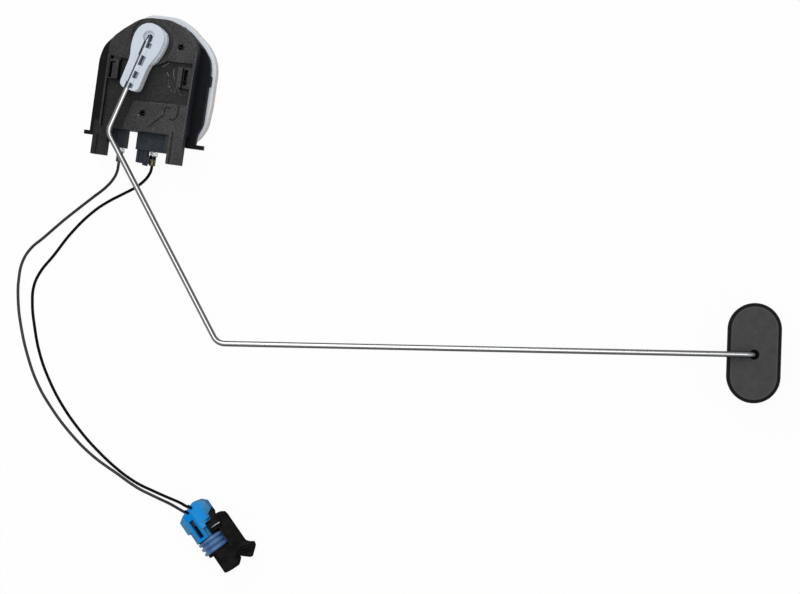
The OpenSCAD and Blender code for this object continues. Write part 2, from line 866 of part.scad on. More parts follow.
// a section in the plug's own y and z, swept along its axis
module sweep_x(x0, x1, pts) {
    translate([x0, 0, 0])
        rotate([90, 0, 90])
            linear_extrude(x1 - x0)
                polygon(pts);
}

// section of the cap: flat top, sloping sides, a wing on the latch side
function cap_section(left, right) = [
    [left + 3.4, 0],
    [right - 3, 0],
    [right, 3.6],
    [right, cap_tall - 4.6],
    [right - 2.4, cap_tall - 1.7],
    [min(1.2, right - 2.4), cap_tall - 0.4],
    [0.9, cap_tall],
    [-3.3, cap_tall],
    [left, cap_tall - 4],
    [left, 3.8]
];

module cap_mass() {
    tail = cap_w - wing_y;
    difference() {
        sweep_x(cap_rear, cap_rear + 9.8, cap_section(-tail, wing_y));
        slab([[cap_rear - 1, 3.4], [cap_rear, 3.4], [cap_rear + 4.2, -tail], [cap_rear + 4.2, -tail - 1],
            [cap_rear - 1, -tail - 1]], -open, cap_tall + open);
        slab([[cap_rear - 1, 4.6], [cap_rear, 5], [cap_rear + 2.4, wing_y], [cap_rear + 2.4, wing_y + 1],
            [cap_rear - 1, wing_y + 1]], -open, cap_tall + open);
        block(cap_rear + 8.4, cap_rear + 11, 6.4, wing_y + 1, -open, cap_tall + open);
    }
    sweep_x(cap_rear + 9.6, cap_rear + 11, cap_section(-tail, 6.3));
    sweep_x(cap_rear + 10.8, cap_rear + 12.4, cap_section(-tail + 1.2, 6.1));
    sweep_x(cap_rear + 12.2, cap_front, cap_section(-tail + 1.2, 3.9));
}

// blue cap over the lead end, with a window in its top
module lock_cap() {
    color([0.1, 0.55, 0.9])
        on_plug()
            difference() {
                cap_mass();
                cut_box(cap_rear + cap_wall, cap_front + open, core_w + 2 * fit, 1);
                block(cap_rear + 11, cap_front + open, 3, wing_y, -open, cap_tall + open);
                block(cap_rear - open, mat_x + 0.4, -3.6, 2.8, lead_z - 1.4, lead_z + 1.6);
                block(4.6, 13.8, -2.4, -0.3, plug_z + core_w / 2 - 0.5, cap_tall + open);
            }
}

module wire_seal() {
    color([0.75, 0.5, 0.3])
        on_plug()
            difference() {
                cut_box(mat_x, core_x, core_w, 1);
                lead_holes(mat_x - open, core_x + open, wire_d / 2 + fit);
            }
}

// round ribbed seal on the core, between the cap and the body's shoulder
module plug_seal() {
    x0 = cap_front + 0.1;
    pitch = 2.4;
    rib = 1.6;
    color([0.4, 0.5, 0.66])
        on_plug()
            difference() {
                union() {
                    round_bar(x0, shoulder_x, seal_d / 2 - 1.1);
                    for (i = [0:2]) {
                        round_bar(x0 + 0.2 + i * pitch, x0 + 0.2 + i * pitch + rib, seal_d / 2);
                    }
                }
                cut_box(x0 - open, shoulder_x + open, core_w + 2 * fit, 1);
            }
}

module round_bar(x0, x1, r) {
    translate([x0, 0, plug_z])
        rotate([0, 90, 0])
            cylinder(h = x1 - x0, r = r, $fn = 64);
}

// plan of the latch lever: long bar with a rounded heel and a thumb pad
function latch_plan() = [
    [8, bar_y + 1],
    [8.3, bar_y + 3.6],
    [9.4, bar_y + bar_w - 0.4],
    [11, bar_y + bar_w],
    [nose_x - 7.4, bar_y + bar_w],
    [nose_x - 5.9, bar_y + bar_w + 1.2],
    [nose_x - 4.6, bar_y + bar_w + 3.1],
    [nose_x - 2.8, bar_y + bar_w + 2.6],
    [nose_x + 0.5, bar_y + 4.3],
    [nose_x - 3.3, bar_y],
    [9, bar_y]
];

// plan of the nose: straight on the left, rounded off towards the latch
function nose_plan() = [
    [shoulder_x - 1, -nose_r],
    [nose_x - 1.2, -nose_r],
    [nose_x - 0.1, nose_y - nose_r + 1.8],
    [nose_x, nose_y + 1.2],
    [nose_x - 1.6, nose_y + 3.7],
    [nose_x - 3, nose_y + nose_r + 1],
    [shoulder_x - 1, nose_y + nose_r + 1]
];

// black plug body: core with two contact ways, nose, and the latch lever along its side
module connector_body() {
    color([0.13, 0.13, 0.13])
        on_plug()
            difference() {
                union() {
                    cut_box(core_x, shoulder_x + 1, core_w, 1);
                    round_bar(shoulder_x, shoulder_x + 1.2, nose_r + 0.4);
                    intersection() {
                        translate([0, nose_y, 0])
                            round_bar(shoulder_x + 0.8, nose_x + open, nose_r);
                        slab(nose_plan(), 0, cap_tall);
                    }
                    block(9.4, cap_front - 0.8, core_w / 2 - 1, bar_y + 0.5, plug_z - 3, plug_z + 3.4);
                    block(12.2, cap_front - 0.8, core_w / 2 - 1, bar_y + 0.5, plug_z - 3, plug_z + 4.4);
                    block(shoulder_x + 0.6, nose_x - 4, nose_y + 2, bar_y + 0.5, plug_z - 3, plug_z + 3.4);
                    slab(latch_plan(), plug_z - 1.2, plug_z + 3.8);
                    block(11, nose_x - 8, bar_y, bar_y + 1, plug_z + 3.6, plug_z + 4.6);
                    block(11, nose_x - 8, bar_y + bar_w - 1, bar_y + bar_w, plug_z + 3.6, plug_z + 4.6);
                }
                for (y = [left_lead_y, right_lead_y]) {
                    block(core_x - open, nose_x + open, y - 1.1, y + 1.1, lead_z - 1.1, lead_z + 1.1);
                }
                for (i = [0:2]) {
                    engraved([[nose_x - 4.2 + i * 1.1, bar_y + bar_w + 2 - i * 0.9],
                        [nose_x - 5.6 + i * 1.1, bar_y + 3 - i * 0.9]], plug_z + 3.2, 0.5);
                }
            }
}

module socket(y) {
    color([0.8, 0.76, 0.6])
        on_plug()
            difference() {
                block(socket_x, socket_x + 13, y - 1.05, y + 1.05, lead_z - 1.05, lead_z + 1.05);
                translate([socket_x - open, y, lead_z])
                    rotate([0, 90, 0])
                        cylinder(h = 3 + open, r = wire_d / 2 + fit, $fn = 24);
                block(socket_x + 5, socket_x + 14, y - 0.6, y + 0.6, lead_z - 0.4, lead_z + 0.4);
            }
}

module left_socket() {
    socket(left_lead_y);
}

module right_socket() {
    socket(right_lead_y);
}

housing();
rear_cover();
resistor_card();
left_terminal();
right_terminal();
wiper_carrier();
wiper_spring();
inner_contact();
outer_contact();
arm_holder();
float_arm();
float_clip();
float();
left_wire();
right_wire();
wire_seal();
lock_cap();
plug_seal();
connector_body();
left_socket();
right_socket();
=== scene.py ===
# %% [markdown]
# # A fuel level sender, dressed for its picture
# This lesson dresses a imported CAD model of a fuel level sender: a black moulded housing with a
# white back cover, a white arm holder on a pivot, a bent steel rod with an oblong float, and two
# thin leads that end in a small blue and black plug. The frame is that of the CAD model, in
# metres: z is the height above the table and y runs up the housing. Tables of points and the
# numbers that go with them are in millimetres, and MM turns them into metres.

# %% Load the fixed frame
import math

import bmesh
import bpy
from mathutils import Matrix, Vector


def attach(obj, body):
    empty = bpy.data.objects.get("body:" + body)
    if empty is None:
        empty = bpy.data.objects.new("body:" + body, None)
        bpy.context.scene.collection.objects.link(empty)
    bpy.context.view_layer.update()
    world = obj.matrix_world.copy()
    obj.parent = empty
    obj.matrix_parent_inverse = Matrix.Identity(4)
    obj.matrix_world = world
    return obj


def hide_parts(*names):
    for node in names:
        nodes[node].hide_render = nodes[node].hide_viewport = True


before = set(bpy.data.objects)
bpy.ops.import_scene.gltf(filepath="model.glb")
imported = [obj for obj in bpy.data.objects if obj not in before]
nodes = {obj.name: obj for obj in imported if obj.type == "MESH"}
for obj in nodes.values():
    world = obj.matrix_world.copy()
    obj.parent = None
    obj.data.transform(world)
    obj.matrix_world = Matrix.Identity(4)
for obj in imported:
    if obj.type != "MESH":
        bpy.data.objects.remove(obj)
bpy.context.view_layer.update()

MM = 0.001


def link_object(name, data):
    piece = bpy.data.objects.new(name, data)
    bpy.context.scene.collection.objects.link(piece)
    return piece


# %% [markdown]
# ## The camera
# The picture was taken from above, well to the float's side: of the tall housing it shows the
# wall that faces the float, and the float itself is seen straight from above. A lens aimed at the
# middle of the sender from a point above the float gives that slant without any lens shift. The
# picture frame is 800 by 594, and one of its units is 0.45 mm on the table.

# %% Place the camera
SEAT, AIM = (264.4, -97.2, 880.0), (128.7, -101.3, 10.0)
PICTURE_UP = (-0.1392, 0.9903, 0.0)
SENSOR_WIDTH = 36.0
PICTURE_WIDTH, FOCAL_LENGTH = 800.0, 1956.7  # both in picture units


def aim_camera():
    seat, target = Vector(SEAT) * MM, Vector(AIM) * MM
    back = (seat - target).normalized()
    right = Vector(PICTURE_UP).cross(back).normalized()
    up = back.cross(right)
    lens = bpy.data.cameras.new("sender_camera")
    lens.sensor_fit = "HORIZONTAL"
    lens.sensor_width = SENSOR_WIDTH
    lens.lens = SENSOR_WIDTH * FOCAL_LENGTH / PICTURE_WIDTH
    lens.clip_start, lens.clip_end = 0.05, 20.0
    camera = link_object("sender_camera", lens)
    turn = Matrix((right, up, back)).transposed().to_4x4()
    camera.matrix_world = Matrix.Translation(seat) @ turn
    bpy.context.scene.camera = camera
    return camera


camera = aim_camera()
print("camera", [round(v, 3) for v in camera.location], "lens", round(camera.data.lens, 2), "mm")


# %% [markdown]
# ## Helpers for colours and nodes
# Colours are written as the hex values that one would pick in a paint program. Blender works in
# linear light, so one function turns them. A second one adds a node with its settings and links,
# which keeps the materials short enough to read.

# %% Colour and node helpers
def paint(code):
    parts = [int(code[i:i + 2], 16) / 255 for i in (1, 3, 5)]
    linear = [c / 12.92 if c <= 0.04045 else ((c + 0.055) / 1.055) ** 2.4 for c in parts]
    return (*linear, 1.0)


def add(tree, kind, values=None, links=None, **settings):
    node = tree.nodes.new(kind)
    for name, value in settings.items():
        setattr(node, name, value)
    for name, value in (values or {}).items():
        node.inputs[name].default_value = value
    for name, source in (links or {}).items():
        tree.links.new(source, node.inputs[name])
    return node


def begin(name, colour, roughness, **more):
    material = bpy.data.materials.new(name)
    material.use_nodes = True
    tree = material.node_tree
    tree.nodes.clear()
    shader = add(tree, "ShaderNodeBsdfPrincipled", {"Base Color": paint(colour), "Roughness": roughness})
    for socket, value in more.items():
        shader.inputs[socket.replace("_", " ")].default_value = value
    add(tree, "ShaderNodeOutputMaterial", links={"Surface": shader.outputs[0]})
    place = add(tree, "ShaderNodeTexCoord").outputs["Object"]
    return material, tree, shader, place


print("white", paint("#ffffff")[:3], "mid grey", round(paint("#808080")[0], 3))


# %% [markdown]
# ## Helpers for what the materials share
# Every material below is built from the same few steps: noise at a place, a value stretched to
# a new range, a ramp of colours, a mix of two colours, and a relief that bends the normal. The
# normal is read in the object's own frame, so the look stays with a piece when its arm swings.

# %% Steps of a material
MIX_FACTOR, MIX_FIRST, MIX_SECOND, MIX_RESULT = 0, 6, 7, 2  # the colour sockets of a Mix node


def split(tree, vector):
    return add(tree, "ShaderNodeSeparateXYZ", links={"Vector": vector}).outputs


def own_normal(tree):
    return add(tree, "ShaderNodeTexCoord").outputs["Normal"]


def noise(tree, place, scale, detail, **more):
    settings = {"Scale": scale, "Detail": detail, **more}
    return add(tree, "ShaderNodeTexNoise", settings, {"Vector": place}).outputs["Fac"]


def remap(tree, value, low, high, to_low=0.0, to_high=1.0):
    ends = {"From Min": low, "From Max": high, "To Min": to_low, "To Max": to_high}
    return add(tree, "ShaderNodeMapRange", ends, {"Value": value}).outputs[0]


def combine(tree, operation, first, second):
    return add(tree, "ShaderNodeMath", links={0: first, 1: second}, operation=operation).outputs[0]


def scale_colour(tree, colour, strength):
    return add(tree, "ShaderNodeVectorMath", links={0: colour, "Scale": strength}, operation="SCALE").outputs[0]


def mix_colours(tree, factor, first, second, blend="MIX"):
    node = add(tree, "ShaderNodeMix", data_type="RGBA", blend_type=blend)
    for socket, source in ((MIX_FACTOR, factor), (MIX_FIRST, first), (MIX_SECOND, second)):
        if isinstance(source, bpy.types.NodeSocket):
            tree.links.new(source, node.inputs[socket])
        else:
            node.inputs[socket].default_value = source
    return node.outputs[MIX_RESULT]


def ramp(tree, factor, steps):
    node = add(tree, "ShaderNodeValToRGB", links={"Fac": factor})
    elements = node.color_ramp.elements
    elements[0].position, elements[0].color = steps[0][0], paint(steps[0][1])
    elements[1].position, elements[1].color = steps[-1][0], paint(steps[-1][1])
    for position, code in steps[1:-1]:
        elements.new(position).color = paint(code)
    return node.outputs["Color"]


def two_tone(tree, factor, dark, light, low, high):
    return ramp(tree, factor, [(low, dark), (high, light)])


def emboss(tree, shader, height, strength, distance):
    bump = add(tree, "ShaderNodeBump", {"Strength": strength, "Distance": distance}, {"Height": height})
    tree.links.new(bump.outputs["Normal"], shader.inputs["Normal"])


# %% [markdown]
# ## Glass-filled black moulding of the housing
# The housing is polyester moulded black. Glass fibres leave a fine grain of lighter specks, and the melt's flow leaves
# pale streaks. On top of that the colour follows the height above the table as painted shade: the flange and the
# recess are painted darker than the raised face, and the label block has a bluish tone. Steep walls are painted darker
# as shade, the rounded edges between them and the faces lighter as a painted highlight, and the colour darkens towards
# the left. The grain is about half a millimetre here, a little coarser than the real one, so that it still shows in
# the picture.

# %% Housing material
def moulded_black():
    material, tree, shader, place = begin("polyester_glass_filled_moulded", "#2e2e2e", 0.6, Specular_IOR_Level=0.1)
    grain = noise(tree, place, 1500.0, 3.0, Roughness=0.65)
    broad = noise(tree, place, 120.0, 3.0)
    streak = add(tree, "ShaderNodeMapping", {"Scale": (1.0, 0.28, 1.0), "Rotation": (0, 0, 0.3)}, {"Vector": place})
    flow = noise(tree, streak.outputs[0], 620.0, 2.0)
    spot = split(tree, place)
    upward = split(tree, own_normal(tree))["Z"]
    # painted shade: the lower the surface, the darker it is painted, with a bluish tone at the label block
    height_painted_shade = ramp(tree, remap(tree, spot["Z"], 0.006, 0.017), [
        (0.0, "#111214"), (0.3, "#17181b"), (0.42, "#2e333b"), (0.6, "#2f343c"), (0.7, "#2d2d2e"),
        (0.78, "#323232"), (0.87, "#393939"), (0.94, "#404040")])
    # painted shade on steep walls and a painted highlight on the rounded edges, by how far a face leans
    walls = ramp(tree, upward, [
        (0.0, "#1c1f26"), (0.3, "#1f2229"), (0.55, "#454a52"), (0.8, "#5c5e62"), (0.95, "#464646")])
    face = mix_colours(tree, remap(tree, upward, 0.93, 0.97), walls, height_painted_shade)
    speck = remap(tree, grain, 0.35, 0.7, 0.62, 1.5)
    patch = remap(tree, broad, 0.3, 0.7, 0.85, 1.15)
    scuff = remap(tree, flow, 0.66, 0.8, 0.0, 0.9)
    # darker towards the left
    side = remap(tree, spot["X"], -0.024, 0.016, 0.72, 1.08)
    uneven = combine(tree, "MULTIPLY", combine(tree, "MULTIPLY", speck, patch), side)
    tone = scale_colour(tree, face, combine(tree, "ADD", uneven, scuff))
    tree.links.new(tone, shader.inputs["Base Color"])
    emboss(tree, shader, grain, 0.2, 0.1 * MM)
    return material


housing_black = moulded_black()
print("made", housing_black.name)


# %% [markdown]
# ## Natural acetal of the cover, the holder and the rotor
# Natural acetal is white with a cool cast. Its moulded faces are smooth and satin. The colour follows how far a face
# leans over, as painted light: the side walls get a tone of their own, a shaded beige on the cover, a shaded grey on
# the rotor, and on the holder a lit tone paler than its top.

# %% White materials
def natural_acetal(name, top, side, roughness):
    material, tree, shader, place = begin(name, top, roughness, Specular_IOR_Level=0.3)
    soft = noise(tree, place, 160.0, 3.0)
    fine = noise(tree, place, 2600.0, 2.0)
    # painted light: the side walls' tone blends into the top's as a face turns up
    level = remap(tree, split(tree, own_normal(tree))["Z"], 0.1, 0.9)
    base = mix_colours(tree, level, paint(side), paint(top))
    tree.links.new(mix_colours(tree, 0.12, base, soft, "OVERLAY"), shader.inputs["Base Color"])
    rough = remap(tree, fine, 0.0, 1.0, roughness - 0.05, roughness + 0.08)
    tree.links.new(rough, shader.inputs["Roughness"])
    emboss(tree, shader, fine, 0.08, 0.1 * MM)
    return material


# the second colour is the side walls' painted light or shade
cover_white = natural_acetal("acetal_natural_moulded_cover", "#e2e8f0", "#c4bfb8", 0.4)
holder_white = natural_acetal("acetal_natural_moulded_holder", "#ccd6e2", "#e2e6ec", 0.34)
rotor_white = natural_acetal("acetal_natural_moulded_rotor", "#dfe2e4", "#c2c4c8", 0.4)
print("made", cover_white.name, holder_white.name, rotor_white.name)


# %% [markdown]
# ## Metals
# The rod is cold-drawn stainless wire with a satin gloss. Its colour carries a painted reflection: a lighter crown,
# greyer flanks and a darker side where it faces -y, and where it lies in the holder a painted reflection of the
# groove's walls, a light strip between two dark ones. The terminals are brass with a bright tin plate, slightly
# cloudy, and the crimps carry a dark band painted as the shade of their hole. Springs and contacts are rolled nickel
# silver. All keep a metal's default IOR, and only colour, roughness and lines differ.

# %% Metal materials
METAL_RELIEF = 0.04
ACROSS_GROOVE = (0.958, -0.286, 0.0)
HOLDER_END = (-0.0246, -0.0240)  # the rod leaves the holder between these heights on y


def metal(name, colour, other, roughness, scale, stretch=(1.0, 1.0, 1.0)):
    material, tree, shader, place = begin(name, colour, roughness, Metallic=1.0)
    lay = add(tree, "ShaderNodeMapping", {"Scale": stretch}, {"Vector": place})
    lines = noise(tree, lay.outputs[0], scale, 4.0)
    tree.links.new(two_tone(tree, lines, other, colour, 0.3, 0.65), shader.inputs["Base Color"])
    rough = remap(tree, lines, 0.0, 1.0, roughness - METAL_RELIEF, roughness + METAL_RELIEF)
    tree.links.new(rough, shader.inputs["Roughness"])
    emboss(tree, shader, lines, METAL_RELIEF, 0.05 * MM)
    return material


def drawn_rod():
    material, tree, shader, place = begin("stainless_steel_cold_drawn", "#c6c7c8", 0.2, Metallic=1.0)
    haze = noise(tree, place, 200.0, 3.0)
    normal = own_normal(tree)
    tilt = split(tree, normal)
    # painted reflection: crown lighter and flanks greyer, by how far the surface faces up
    crown_painted_reflection = ramp(tree, tilt["Z"], [
        (0.0, "#77787a"), (0.3, "#626365"), (0.6, "#616264"), (0.82, "#929395"), (0.95, "#bbbcbe")])
    # painted shade: darker where the rod faces -y
    free = scale_colour(tree, crown_painted_reflection, remap(tree, tilt["Y"], -0.7, -0.15, 0.55, 1.0))
    # painted reflection of the groove's walls where the rod lies in the holder
    across = add(tree, "ShaderNodeVectorMath", {1: ACROSS_GROOVE}, {0: normal}, operation="DOT_PRODUCT")
    groove = ramp(tree, remap(tree, across.outputs["Value"], -1.0, 1.0), [
        (0.25, "#4a5058"), (0.31, "#9aa0a8"), (0.56, "#9aa0a8"), (0.63, "#59616c")])
    held = remap(tree, split(tree, place)["Y"], *HOLDER_END)
    tree.links.new(mix_colours(tree, held, free, groove), shader.inputs["Base Color"])
    tree.links.new(remap(tree, haze, 0.0, 1.0, 0.17, 0.23), shader.inputs["Roughness"])
    return material


rod_steel = drawn_rod()
clip_steel = metal("spring_steel_stamped", "#a8a9ac", "#7c7d80", 0.35, 900.0)
tinned = metal("brass_tin_plated", "#b4b6b8", "#77746c", 0.36, 900.0)
nickel_silver = metal("nickel_silver_rolled", "#c9bfa2", "#a1977c", 0.3, 800.0, stretch=(6.0, 1.0, 1.0))
contact_silver = metal("silver_alloy_rivet", "#dcdcd8", "#b3b3ae", 0.2, 2000.0)


def crimped_tin():
    material, tree, shader, place = begin("brass_tin_plated_crimped", "#d6d8da", 0.35, Metallic=1.0)
    along = remap(tree, split(tree, place)["Y"], -0.058, -0.050)
    # along the crimp: brown at the lead end, then a dark band painted as the shade of the crimp's hole, then light tin
    # towards the housing
    base = ramp(tree, along, [
        (0.0, "#5b4c3b"), (0.36, "#8d8069"), (0.46, "#1d1d1f"), (0.6, "#26272a"), (0.68, "#e3e6e8"), (1.0, "#e9ebed")])
    spots = two_tone(tree, noise(tree, place, 1300.0, 3.0), "#9a9a9a", "#ffffff", 0.4, 0.6)
    tree.links.new(mix_colours(tree, 1.0, base, spots, "MULTIPLY"), shader.inputs["Base Color"])
    return material


crimped = crimped_tin()
print("made", crimped.name, [m.name for m in (rod_steel, clip_steel, tinned, nickel_silver, contact_silver)])


# %% [markdown]
# ## Foam, rubber and ceramic
# The float is closed-cell nitrile foam, moulded to shape with a thin skin. Its colour follows how far a face leans:
# the flat faces are grey, the edges nearly black, with a slightly lighter ring where a face starts to round. Seals are
# silicone, and the card, which the housing hides, is fired alumina. The blue cap is painted darker on its walls as
# shade, with a lighter band as a painted highlight where its faces round over to the top. The housing's painted edge
# highlights and glints, which share their lines with the melt's flow marks, and the rib painted as the highlight on
# the plug's latch have materials of their own, paler than the mouldings that they lie on.

# %% Float, seal, lead, plug and card materials
def foam_float():
    material, tree, shader, place = begin("nitrile_foam_closed_cell_moulded", "#444444", 0.8, Specular_IOR_Level=0.2)
    cells = add(tree, "ShaderNodeTexVoronoi", {"Scale": 1400.0}, {"Vector": place}).outputs["Distance"]
    dust = noise(tree, place, 260.0, 5.0, Roughness=0.6)
    face = two_tone(tree, dust, "#3f3f3f", "#4a4a4a", 0.3, 0.7)
    upward = split(tree, own_normal(tree))["Z"]
    # darker as a face turns down, a lighter ring where the top starts to round
    rim = ramp(tree, upward, [(0.0, "#080808"), (0.9, "#0b0b0b"), (0.975, "#525252"), (0.99, "#4c4c4c")])
    tree.links.new(mix_colours(tree, remap(tree, upward, 0.985, 0.998), rim, face), shader.inputs["Base Color"])
    emboss(tree, shader, cells, 0.2, 0.1 * MM)
    return material


def mottled(name, dark, light, roughness, scale, strength, **more):
    material, tree, shader, place = begin(name, light, roughness, **more)
    grain = noise(tree, place, scale, 3.0)
    tree.links.new(two_tone(tree, grain, dark, light, 0.35, 0.65), shader.inputs["Base Color"])
    rough = remap(tree, grain, 0.0, 1.0, roughness - 0.06, roughness + 0.08)
    tree.links.new(rough, shader.inputs["Roughness"])
    emboss(tree, shader, grain, strength, 0.08 * MM)
    return material


def blue_moulding():
    material, tree, shader, place = begin("polyester_moulded_blue", "#0a85da", 0.5, Specular_IOR_Level=0.02)
    cloud = noise(tree, place, 260.0, 2.0)
    # painted shade on the walls, darker blue, and a painted highlight, a lighter band where faces round over to the
    # top
    base = ramp(tree, split(tree, own_normal(tree))["Z"], [
        (0.0, "#2f6c98"), (0.35, "#3a80b4"), (0.75, "#4a92c6"), (0.93, "#2f9ceb"), (0.99, "#0a84d6")])
    tree.links.new(mix_colours(tree, 0.15, base, cloud, "OVERLAY"), shader.inputs["Base Color"])
    emboss(tree, shader, cloud, 0.05, 0.08 * MM)
    return material


float_foam = foam_float()
blue_polyester = blue_moulding()
lead_jacket = mottled(
    "fluoropolymer_extruded_black", "#080808", "#0c0c0c", 0.5, 60.0, 0.01, Specular_IOR_Level=0.04)
blue_silicone = mottled(
    "silicone_moulded_blue_grey", "#456a98", "#5b82b4", 0.4, 300.0, 0.05, Specular_IOR_Level=0.3)
plug_black = mottled(
    "polyester_moulded_black", "#151515", "#222221", 0.6, 300.0, 0.02, Specular_IOR_Level=0.0)
lead_gloss = mottled(
    "fluoropolymer_extruded_black_gloss", "#0c0c0c", "#121212", 0.3, 60.0, 0.01, Specular_IOR_Level=0.5)
# pale lines painted as the highlights on the housing's edges, shared with flow marks
edge_highlight_and_flow_mark = mottled(
    "housing_edge_highlight_and_flow_mark", "#4c4d4e", "#66676a", 0.6, 1500.0, 0.1, Specular_IOR_Level=0.2)
# pale blobs painted as glints, shared with flow marks
glint_and_flow_mark = mottled(
    "housing_glint_and_flow_mark", "#6e6f71", "#9c9d9f", 0.45, 1500.0, 0.1, Specular_IOR_Level=0.4)
# a light rib painted as the highlight along the plug's latch
latch_painted_highlight = mottled("plug_latch_painted_highlight", "#9fa3ab", "#c4c7cd", 0.4, 900.0, 0.02)
seal_silicone = mottled("silicone_moulded_dark_blue", "#0b1b30", "#16304e", 0.4, 700.0, 0.1)
alumina = mottled("alumina_fired_white", "#d5d3ca", "#e9e7df", 0.6, 1800.0, 0.15)
print("made", float_foam.name, lead_jacket.name, blue_polyester.name)


# %% [markdown]
# ## Finishes on the CAD nodes
# A CAD node whose shape is right stays as it is and only gets its finish. Its mesh isn't
# touched, so a table from node to material is enough.

# %% Give each CAD node its finish
FINISHES = {
    "housing": housing_black,
    "rear_cover": cover_white,
    "resistor_card": alumina,
    "left_terminal": crimped,
    "right_terminal": crimped,
    "wiper_carrier": rotor_white,
    "wiper_spring": nickel_silver,
    "inner_contact": contact_silver,
    "outer_contact": contact_silver,
    "arm_holder": holder_white,
    "float_arm": rod_steel,
    "float_clip": clip_steel,
    "float": float_foam,
    "left_wire": lead_jacket,
    "right_wire": lead_jacket,
    "wire_seal": seal_silicone,
    "lock_cap": blue_polyester,
    "plug_seal": blue_silicone,
    "connector_body": plug_black,
    "left_socket": tinned,
    "right_socket": tinned,
}
for name, material in FINISHES.items():
    slots = nodes[name].data.materials
    slots.clear()
    slots.append(material)
print("dressed", len(FINISHES), "nodes")


# %% [markdown]
# ## Rounded edges on the mouldings
# A mould can't make a sharp outer edge. Each moulding is copied from its CAD node, loose triangles
# are merged, and a bevel of a few tenths of a millimetre softens every edge that turns more than a
# set angle, apart from those of the rod's groove. Flat areas are joined into whole faces first,
# but not on the housing, whose many slots make such faces fold. The copy then stands in for the
# node.

# %% Round the edges of the moulded pieces
MERGE_GAP = 2e-6
FLAT_ANGLE, SHARP_ANGLE = math.radians(0.6), math.radians(28.0)
ROD_HEADING = -106.6  # degrees, from the pivot to the rod's first corner
GROOVE = Matrix.Rotation(math.radians(ROD_HEADING + 90.0), 4, "Z")
GROOVE_HALF, GROOVE_FLOOR = 1.7 * MM, 18.8 * MM


def merged_copy(node):
    mesh = nodes[node].data.copy()
    work = bmesh.new()
    work.from_mesh(mesh)
    bmesh.ops.remove_doubles(work, verts=work.verts, dist=MERGE_GAP)
    bmesh.ops.dissolve_degenerate(work, edges=work.edges, dist=MERGE_GAP)
    return mesh, work


def nowhere(place):
    return False


def in_groove(place):
    across = (GROOVE.inverted() @ place).x
    return abs(across) < GROOVE_HALF and place.z > GROOVE_FLOOR


def mark_edges(work, spare):
    weight = work.edges.layers.float.new("bevel_weight_edge")
    marked = 0
    for edge in work.edges:
        if len(edge.link_faces) == 2 and edge.calc_face_angle(0.0) > SHARP_ANGLE:
            middle = (edge.verts[0].co + edge.verts[1].co) / 2
            if not spare(middle):
                edge[weight] = 1.0
                marked += 1
    return marked


def rounded_copy(node, name, width, body, segments=3, spare=nowhere, flats=True):
    mesh, work = merged_copy(node)
    if flats:
        bmesh.ops.dissolve_limit(work, angle_limit=FLAT_ANGLE, verts=work.verts, edges=work.edges)
    marked = mark_edges(work, spare)
    work.to_mesh(mesh)
    work.free()
    piece = link_object(name, mesh)
    bevel = piece.modifiers.new("soft_edges", "BEVEL")
    bevel.width = width
    bevel.segments = segments
    bevel.limit_method = "WEIGHT"
    bevel.use_clamp_overlap = True
    bevel.harden_normals = True
    depsgraph = bpy.context.evaluated_depsgraph_get()
    baked = bpy.data.meshes.new_from_object(piece.evaluated_get(depsgraph))
    piece.modifiers.clear()
    piece.data = baked
    baked.name = name
    baked.materials.clear()
    baked.materials.append(FINISHES[node])
    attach(piece, body)
    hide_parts(node)
    print(name, "rounded edges:", marked, "faces:", len(baked.polygons))
    return piece


rounded_copy("housing", "housing_shell", 0.24 * MM, "sender", segments=2, flats=False)
rounded_copy("rear_cover", "cover_shell", 0.5 * MM, "sender")
rounded_copy("arm_holder", "holder_shell", 0.45 * MM, "arm", spare=in_groove)
cap_shell = rounded_copy("lock_cap", "cap_shell", 0.35 * MM, "sender")
plug_shell = rounded_copy("connector_body", "plug_shell", 0.35 * MM, "sender")

# %% [markdown]
# ## Snap lips of the arm holder
# The rod is pressed into its groove past thin lips that spring over it. One long lip stands on
# the left of the groove and three short ones on its right, between the windows. They are slim bars
# with rounded edges that hang a little over the rod, so that only a narrow strip of it shows. Each
# row of the table is left, right, low and high, in the groove's own axes.

# %% Add the snap lips
LIP_FLOOR, LIP_TOP = 22.3, 22.8
LIPS = [(-2.0, -0.78, -22.4, -9.3), (0.35, 1.9, -8.9, -5.1), (0.35, 1.9, -16.7, -13.6), (0.35, 1.9, -22.5, -20.0)]


def add_lips():
    work = bmesh.new()
    for left, right, low, high in LIPS:
        box = bmesh.ops.create_cube(work, size=1.0)["verts"]
        size = Matrix.Diagonal(((right - left) * MM, (high - low) * MM, (LIP_TOP - LIP_FLOOR) * MM, 1.0))
        centre = Vector(((left + right) / 2, (low + high) / 2, (LIP_FLOOR + LIP_TOP) / 2)) * MM
        bmesh.ops.transform(work, matrix=GROOVE @ Matrix.Translation(centre) @ size, verts=box)
    top_edges = [e for e in work.edges if min(v.co.z for v in e.verts) > (LIP_TOP - 0.01) * MM]
    bmesh.ops.bevel(work, geom=top_edges, offset=0.2 * MM, segments=3, profile=0.5, affect="EDGES")
    mesh = bpy.data.meshes.new("holder_lips")
    work.to_mesh(mesh)
    work.free()
    mesh.materials.append(holder_white)
    lips = link_object("holder_lips", mesh)
    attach(lips, "arm")
    return lips


lips = add_lips()
print("lips:", len(LIPS), "faces:", len(lips.data.polygons))

# %% [markdown]
# ## Geometry Nodes, step by step
# What follows a path or repeats is grown by a Geometry Nodes tree that is built here. One function opens a tree with
# named inputs. A second runs it on a carrier object, with each input set by its identifier, and hands back a plain
# mesh with its finish. A third names that mesh, ties it to its body and hides the CAD node that it replaces.

